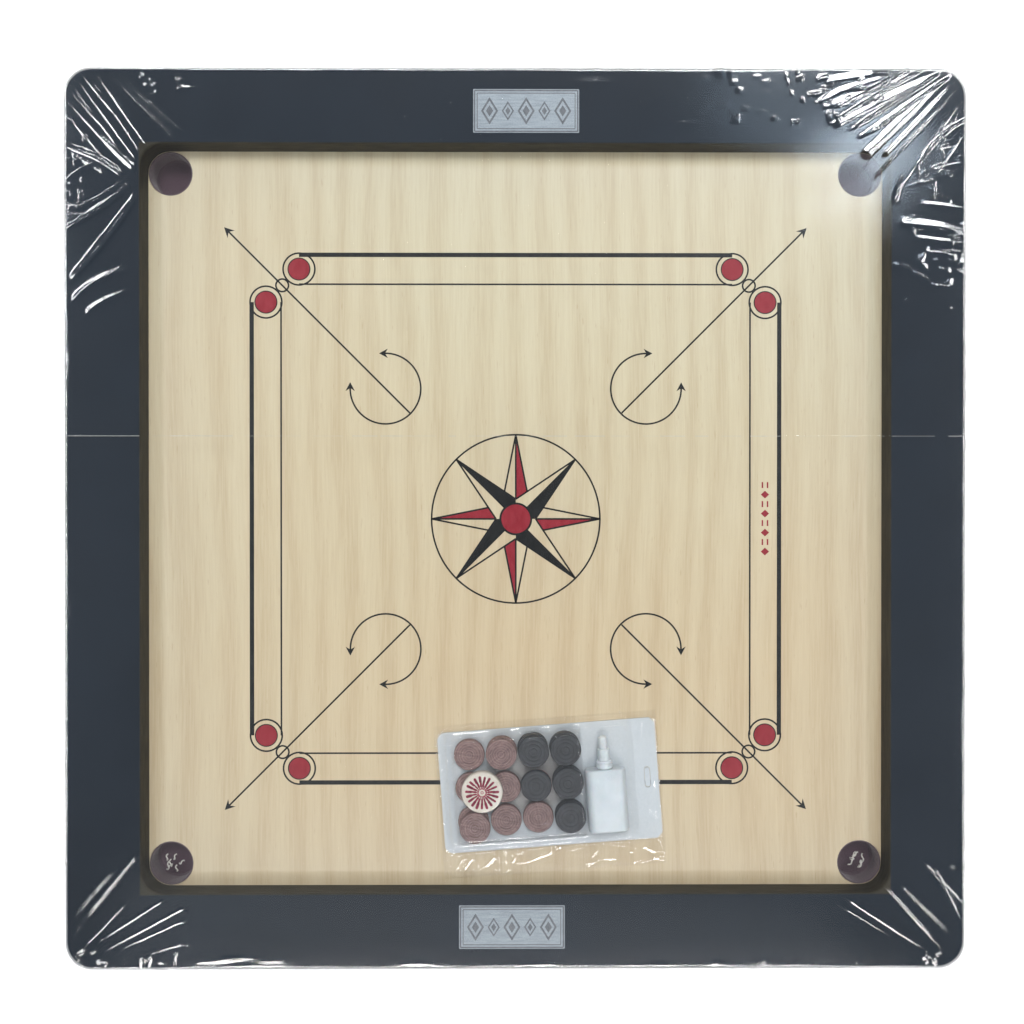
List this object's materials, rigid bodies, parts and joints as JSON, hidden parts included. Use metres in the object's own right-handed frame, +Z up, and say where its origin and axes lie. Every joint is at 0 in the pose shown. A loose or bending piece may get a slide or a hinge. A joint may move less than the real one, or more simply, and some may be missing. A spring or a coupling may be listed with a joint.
{
  "type": "carrom board",
  "caption": "Full-size carrom board with painted frame, pale ply surface and net pockets, in clear shrink film with a bagged pack of coins, striker and powder bottle.",
  "frame": {"origin": "centre of the board, on the plane that the rails stand on", "axes": "+Z up from the table through the playing surface; +X towards the east rail, +Y towards the north rail, the rail furthest from the bagged pack"},
  "size_m": [0.8898, 0.8898, 0.0511],
  "materials": {
    "frame_paint": "satin paint",
    "playing_ply": "lacquered",
    "batten_wood": "planed",
    "beech": "planed",
    "net_cord": "knotted cotton",
    "ring_steel": "zinc plated",
    "screw_steel": "zinc plated",
    "label_foil": "brushed",
    "clear_film": "clear gloss",
    "card_board": "coated",
    "clear_blister": "clear gloss",
    "coin_brown": "turned",
    "coin_black": "turned and stained",
    "coin_red": "turned and stained",
    "striker_resin": "polished",
    "bottle_plastic": "satin",
    "cap_plastic": "satin",
    "powder": "fine powder"
  },
  "bodies": {
    "board": {"batten_east": "batten_wood", "batten_north": "batten_wood", "batten_screws": "screw_steel", "batten_south": "batten_wood", "batten_west": "batten_wood", "corner_tenon_north_east": "beech", "corner_tenon_north_west": "beech", "corner_tenon_south_east": "beech", "corner_tenon_south_west": "beech", "name_plate_north": "label_foil", "name_plate_south": "label_foil", "panel_screws": "screw_steel", "playing_panel": "playing_ply", "pocket_net_north_east": "net_cord", "pocket_net_north_west": "net_cord", "pocket_net_south_east": "net_cord", "pocket_net_south_west": "net_cord", "pocket_ring_north_east": "ring_steel", "pocket_ring_north_west": "ring_steel", "pocket_ring_south_east": "ring_steel", "pocket_ring_south_west": "ring_steel", "rail_east": "frame_paint", "rail_north": "frame_paint", "rail_south": "frame_paint", "rail_west": "frame_paint", "ring_screws": "screw_steel"},
    "film": {"shrink_film": "clear_film"},
    "bag": {"bag_front": "clear_film"},
    "blister": {"coin_blister": "clear_blister"},
    "striker": {"striker": "striker_resin"},
    "card": {"backing_card": "card_board", "bag_back": "clear_film"},
    "bottle": {"bottle_body": "bottle_plastic", "powder_fill": "powder"},
    "closure": {"bottle_closure": "cap_plastic"},
    "tip_cap": {"tip_cap": "cap_plastic"},
    "coin_black_1": {"coin_black_1": "coin_black"},
    "coin_black_2": {"coin_black_2": "coin_black"},
    "coin_black_3": {"coin_black_3": "coin_black"},
    "coin_black_4": {"coin_black_4": "coin_black"},
    "coin_black_5": {"coin_black_5": "coin_black"},
    "coin_black_6": {"coin_black_6": "coin_black"},
    "coin_black_7": {"coin_black_7": "coin_black"},
    "coin_black_8": {"coin_black_8": "coin_black"},
    "coin_black_9": {"coin_black_9": "coin_black"},
    "coin_brown_1": {"coin_brown_1": "coin_brown"},
    "coin_brown_2": {"coin_brown_2": "coin_brown"},
    "coin_brown_3": {"coin_brown_3": "coin_brown"},
    "coin_brown_4": {"coin_brown_4": "coin_brown"},
    "coin_brown_5": {"coin_brown_5": "coin_brown"},
    "coin_brown_6": {"coin_brown_6": "coin_brown"},
    "coin_brown_7": {"coin_brown_7": "coin_brown"},
    "coin_brown_8": {"coin_brown_8": "coin_brown"},
    "coin_brown_9": {"coin_brown_9": "coin_brown"},
    "coin_queen": {"coin_queen": "coin_red"}
  },
  "joints": [
    {"name": "film_lift", "type": "slide", "parent": "board", "child": "film", "axis": [0, 0, 1], "range_m": [0, 0.3]},
    {"name": "bag_lift", "type": "slide", "parent": "board", "child": "bag", "axis": [0, 0, 1], "range_m": [0, 0.2255]},
    {"name": "blister_lift", "type": "slide", "parent": "board", "child": "blister", "axis": [0, 0, 1], "range_m": [0, 0.1655]},
    {"name": "striker_lift", "type": "slide", "parent": "board", "child": "striker", "axis": [0, 0, 1], "range_m": [0, 0.1355]},
    {"name": "bottle_lift", "type": "slide", "parent": "board", "child": "bottle", "axis": [0, 0, 1], "range_m": [0, 0.1055]},
    {"name": "card_lift", "type": "slide", "parent": "board", "child": "card", "axis": [0, 0, 1], "range_m": [0, 0.0455]},
    {"name": "coin_black_1_lift", "type": "slide", "parent": "board", "child": "coin_black_1", "axis": [0, 0, 1], "range_m": [0, 0.0755]},
    {"name": "coin_black_2_lift", "type": "slide", "parent": "board", "child": "coin_black_2", "axis": [0, 0, 1], "range_m": [0, 0.1055]},
    {"name": "coin_black_3_lift", "type": "slide", "parent": "board", "child": "coin_black_3", "axis": [0, 0, 1], "range_m": [0, 0.0755]},
    {"name": "coin_black_4_lift", "type": "slide", "parent": "board", "child": "coin_black_4", "axis": [0, 0, 1], "range_m": [0, 0.1055]},
    {"name": "coin_black_5_lift", "type": "slide", "parent": "board", "child": "coin_black_5", "axis": [0, 0, 1], "range_m": [0, 0.1055]},
    {"name": "coin_black_6_lift", "type": "slide", "parent": "board", "child": "coin_black_6", "axis": [0, 0, 1], "range_m": [0, 0.0755]},
    {"name": "coin_black_7_lift", "type": "slide", "parent": "board", "child": "coin_black_7", "axis": [0, 0, 1], "range_m": [0, 0.1055]},
    {"name": "coin_black_8_lift", "type": "slide", "parent": "board", "child": "coin_black_8", "axis": [0, 0, 1], "range_m": [0, 0.0755]},
    {"name": "coin_black_9_lift", "type": "slide", "parent": "board", "child": "coin_black_9", "axis": [0, 0, 1], "range_m": [0, 0.1055]},
    {"name": "coin_brown_1_lift", "type": "slide", "parent": "board", "child": "coin_brown_1", "axis": [0, 0, 1], "range_m": [0, 0.0755]},
    {"name": "coin_brown_2_lift", "type": "slide", "parent": "board", "child": "coin_brown_2", "axis": [0, 0, 1], "range_m": [0, 0.0755]},
    {"name": "coin_brown_3_lift", "type": "slide", "parent": "board", "child": "coin_brown_3", "axis": [0, 0, 1], "range_m": [0, 0.1055]},
    {"name": "coin_brown_4_lift", "type": "slide", "parent": "board", "child": "coin_brown_4", "axis": [0, 0, 1], "range_m": [0, 0.0755]},
    {"name": "coin_brown_5_lift", "type": "slide", "parent": "board", "child": "coin_brown_5", "axis": [0, 0, 1], "range_m": [0, 0.0755]},
    {"name": "coin_brown_6_lift", "type": "slide", "parent": "board", "child": "coin_brown_6", "axis": [0, 0, 1], "range_m": [0, 0.0755]},
    {"name": "coin_brown_7_lift", "type": "slide", "parent": "board", "child": "coin_brown_7", "axis": [0, 0, 1], "range_m": [0, 0.1055]},
    {"name": "coin_brown_8_lift", "type": "slide", "parent": "board", "child": "coin_brown_8", "axis": [0, 0, 1], "range_m": [0, 0.0755]},
    {"name": "coin_brown_9_lift", "type": "slide", "parent": "board", "child": "coin_brown_9", "axis": [0, 0, 1], "range_m": [0, 0.0755]},
    {"name": "coin_queen_lift", "type": "slide", "parent": "board", "child": "coin_queen", "axis": [0, 0, 1], "range_m": [0, 0.0755]},
    {"name": "closure_twist", "type": "hinge", "parent": "bottle", "child": "closure", "pos_m": [0.08857, -0.24527, 0.0379], "axis": [-0.075, 0.9972, 0], "range_deg": [0, 360]},
    {"name": "tip_cap_pull", "type": "slide", "parent": "closure", "child": "tip_cap", "axis": [-0.075, 0.9972, 0], "range_m": [0, 0.009]}
  ],
  "couplings": [
    {"joint": "bag_lift", "follows": "film_lift", "ratio": 0.75},
    {"joint": "blister_lift", "follows": "film_lift", "ratio": 0.55},
    {"joint": "striker_lift", "follows": "film_lift", "ratio": 0.45},
    {"joint": "bottle_lift", "follows": "film_lift", "ratio": 0.35},
    {"joint": "card_lift", "follows": "film_lift", "ratio": 0.15},
    {"joint": "coin_black_1_lift", "follows": "film_lift", "ratio": 0.25},
    {"joint": "coin_black_2_lift", "follows": "film_lift", "ratio": 0.35},
    {"joint": "coin_black_3_lift", "follows": "film_lift", "ratio": 0.25},
    {"joint": "coin_black_4_lift", "follows": "film_lift", "ratio": 0.35},
    {"joint": "coin_black_5_lift", "follows": "film_lift", "ratio": 0.35},
    {"joint": "coin_black_6_lift", "follows": "film_lift", "ratio": 0.25},
    {"joint": "coin_black_7_lift", "follows": "film_lift", "ratio": 0.35},
    {"joint": "coin_black_8_lift", "follows": "film_lift", "ratio": 0.25},
    {"joint": "coin_black_9_lift", "follows": "film_lift", "ratio": 0.35},
    {"joint": "coin_brown_1_lift", "follows": "film_lift", "ratio": 0.25},
    {"joint": "coin_brown_2_lift", "follows": "film_lift", "ratio": 0.25},
    {"joint": "coin_brown_3_lift", "follows": "film_lift", "ratio": 0.35},
    {"joint": "coin_brown_4_lift", "follows": "film_lift", "ratio": 0.25},
    {"joint": "coin_brown_5_lift", "follows": "film_lift", "ratio": 0.25},
    {"joint": "coin_brown_6_lift", "follows": "film_lift", "ratio": 0.25},
    {"joint": "coin_brown_7_lift", "follows": "film_lift", "ratio": 0.35},
    {"joint": "coin_brown_8_lift", "follows": "film_lift", "ratio": 0.25},
    {"joint": "coin_brown_9_lift", "follows": "film_lift", "ratio": 0.25},
    {"joint": "coin_queen_lift", "follows": "film_lift", "ratio": 0.25}
  ]
}
